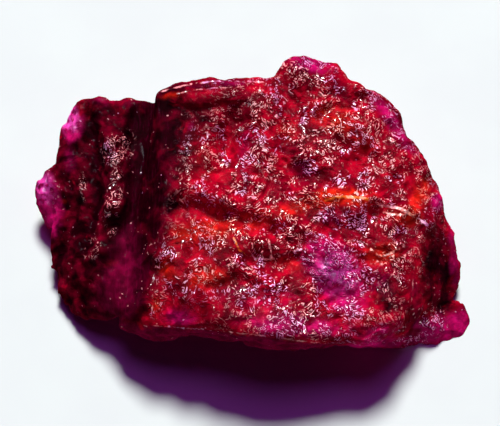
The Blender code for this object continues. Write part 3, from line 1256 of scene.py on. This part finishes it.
        # Faces that turn away from the face's plane get the side's painted shade.
        values[Zone.SIDE] += np.clip((self.side_from - out) / self.side_from, 0, 1)
        for zone in THIN_ZONES:
            values[zone] *= np.clip((out - self.streaks_from) * self.streaks_gain, 0, 1)
        calm = np.clip(values[Zone.SATIN], 0, 1) + np.clip(values[Zone.SIDE], 0, 1)
        values[Zone.GLINT] *= 1 - np.clip(calm, 0, 1)
        values[Zone.SWELL] = self._swell(mesh)
        for zone, value in values.items():
            attribute = mesh.attributes.new(zone.value, "FLOAT", "POINT")
            attribute.data.foreach_set("value", value.astype(np.float32))

    def _swell(self, mesh: bpy.types.Mesh) -> np.ndarray:
        """Measures how far each point stands out of a smoothed copy of the mesh.

        Args:
            mesh: The mesh.

        Returns:
            The distance at each point in millimetres, negative in hollows.
        """
        bm = bmesh.new()
        bm.from_mesh(mesh)
        axes = {"use_axis_x": True, "use_axis_y": True, "use_axis_z": True}
        for _ in range(self.swell_rounds):
            bmesh.ops.smooth_vert(bm, verts=bm.verts, factor=1.0, **axes)
        smoothed = np.array([vertex.co[:] for vertex in bm.verts])
        bm.free()
        return ((self._points(mesh) - smoothed) * self._normals(mesh)).sum(axis=1) / MM

    @staticmethod
    def _weight(zone: Zone, places: np.ndarray) -> np.ndarray:
        """Weighs places by all of a zone's patches.

        Args:
            zone: The zone.
            places: Rows of across, up and out.

        Returns:
            The sum of the patches' weights, or the strongest of them where the zone is drawn as thin lines.
        """
        weights = [patch.weight(places) for patch in ZONE_PATCHES[zone]]
        return np.max(weights, axis=0) if zone in THIN_ZONES else np.sum(weights, axis=0)

    @staticmethod
    def _points(mesh: bpy.types.Mesh) -> np.ndarray:
        """Returns the mesh's points as rows."""
        return np.array([vertex.co[:] for vertex in mesh.vertices])

    @staticmethod
    def _normals(mesh: bpy.types.Mesh) -> np.ndarray:
        """Returns the normals at the mesh's points as rows."""
        return np.array([normal.vector[:] for normal in mesh.vertex_normals])


@dataclass(frozen=True)
class Softbox:
    """A round area light that points at the lump.

    Attributes:
        name: Its name.
        direction: From the lump to the light.
        distance: How far away it is, in metres.
        diameter: How wide it is, in metres.
        strength: What it gives a surface that faces it, where pi lights a white one fully.
        tint: Its colour.
        diffuse: Whether it lights the surface.
        gloss: Whether it shows in reflections.
    """

    name: str
    direction: tuple[float, float, float]
    distance: float
    diameter: float
    strength: float
    tint: tuple[float, float, float] = (1.0, 1.0, 1.0)
    diffuse: bool = True
    gloss: bool = True

    def place(self) -> None:
        """Adds the light to the scene."""
        light = bpy.data.lights.new(self.name, "AREA")
        light.shape = "DISK"
        light.size = self.diameter
        light.energy = self.strength * math.pi * self.distance**2
        light.color = self.tint
        holder = bpy.data.objects.new(self.name, light)
        bpy.context.scene.collection.objects.link(holder)
        towards = Vector(self.direction).normalized()
        holder.location = towards * self.distance
        holder.rotation_mode = "QUATERNION"
        holder.rotation_quaternion = towards.to_track_quat("Z", "Y")
        holder.visible_diffuse = self.diffuse
        holder.visible_glossy = self.gloss


@dataclass
class Stage:
    """The floor, the lights, the surroundings and the camera.

    Attributes:
        floor_size: Side of the floor, in metres.
        ambient: Colour of what lights the shadows.
        ambient_strength: How strong that is.
        backdrop: Colour that the camera sees beyond the floor.
        backdrop_strength: How strong that is.
        view_rise_deg: How far above the horizon the camera is.
        view_distance: From the layout plane to the camera, in metres.
        view_width: Width of the view at the layout plane, in metres.
        view_up_mm: Where the view's middle lies, up the layout plane.
        view_clip: How many times nearer and farther than the layout plane the camera sees.
        lights: The softboxes.
        floor_finish: What the floor is made of.
    """

    floor_size: float = 3.0
    ambient: Colour = (0.55, 0.10, 1.0, 1)
    ambient_strength: float = 0.012
    backdrop: Colour = (0.93, 0.94, 0.96, 1)
    backdrop_strength: float = 1.0
    view_rise_deg: float = 62.0
    view_distance: float = 0.100
    view_width: float = 0.0372
    view_up_mm: float = -0.6
    view_clip: float = 100.0
    lights: tuple[Softbox, ...] = (
        Softbox("key", (0.04, 0.630, 0.776), 2.4, 0.62, 6.2, (0.96, 1.0, 0.93)),
        Softbox("violet", (0.0, 0.326, 0.945), 2.4, 1.10, 0.42, (0.75, 0.12, 1.0), gloss=False),
        Softbox("dome", (0.0, 0.1, 1.0), 1.2, 1.80, 14.0, (1.0, 0.92, 0.96), diffuse=False),
        Softbox("glint left", (-0.75, 0.05, 0.80), 1.2, 0.18, 6.0, (0.95, 0.92, 1.0), diffuse=False),
        Softbox("glint right", (0.70, 0.10, 0.85), 1.2, 0.18, 2.4, (1.0, 0.93, 0.96), diffuse=False),
    )
    floor_finish: FloorFinish = field(default_factory=FloorFinish)

    def build(self) -> None:
        """Builds everything on the stage."""
        self._floor()
        self._surroundings()
        for light in self.lights:
            light.place()
        self._camera()
        bpy.context.scene.view_settings.view_transform = "Standard"

    def _floor(self) -> None:
        """Lays the floor."""
        bm = bmesh.new()
        bmesh.ops.create_grid(bm, x_segments=1, y_segments=1, size=self.floor_size / 2)
        mesh = bpy.data.meshes.new("floor")
        bm.to_mesh(mesh)
        bm.free()
        mesh.materials.append(self.floor_finish.material())
        floor = bpy.data.objects.new("floor", mesh)
        bpy.context.scene.collection.objects.link(floor)

    def _surroundings(self) -> None:
        """Lights the shadows faintly, and shows the camera a pale backdrop."""
        world = bpy.data.worlds.new("studio")
        bpy.context.scene.world = world
        world.use_nodes = True
        bench = NodeBench(world.node_tree)
        seen = bench.add("LightPath").outputs["Is Camera Ray"]
        strength = bench.ramp(seen, Band(0.0, 1.0, self.ambient_strength, self.backdrop_strength))
        background = world.node_tree.nodes["Background"]
        bench.feed(background.inputs["Color"], bench.mix(seen, self.ambient, self.backdrop))
        bench.feed(background.inputs["Strength"], strength)

    def _camera(self) -> None:
        """Sets the camera square to the layout plane."""
        rise = math.radians(self.view_rise_deg)
        back = Vector((0, -math.cos(rise), math.sin(rise)))
        lens = bpy.data.cameras.new("camera")
        lens.lens = lens.sensor_width * self.view_distance / self.view_width
        lens.clip_start = self.view_distance / self.view_clip
        lens.clip_end = self.view_distance * self.view_clip
        camera = bpy.data.objects.new("camera", lens)
        bpy.context.scene.collection.objects.link(camera)
        camera.location = PLANE.to_world(0, self.view_up_mm, 0) + back * self.view_distance
        camera.rotation_mode = "QUATERNION"
        camera.rotation_quaternion = (-back).to_track_quat("-Z", "Y")
        bpy.context.scene.camera = camera


def main() -> None:
    """Builds the stage and the skin, and logs how many lights and faces they have."""
    logging.basicConfig(level=logging.INFO, format="%(message)s")
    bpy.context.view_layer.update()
    stage = Stage()
    stage.build()
    LOG.info("stage: %d lights", len(stage.lights))
    skin = CrystalSkin().build()
    LOG.info("%s: %d faces", skin.name, len(skin.data.polygons))


if __name__ == "__main__":
    main()
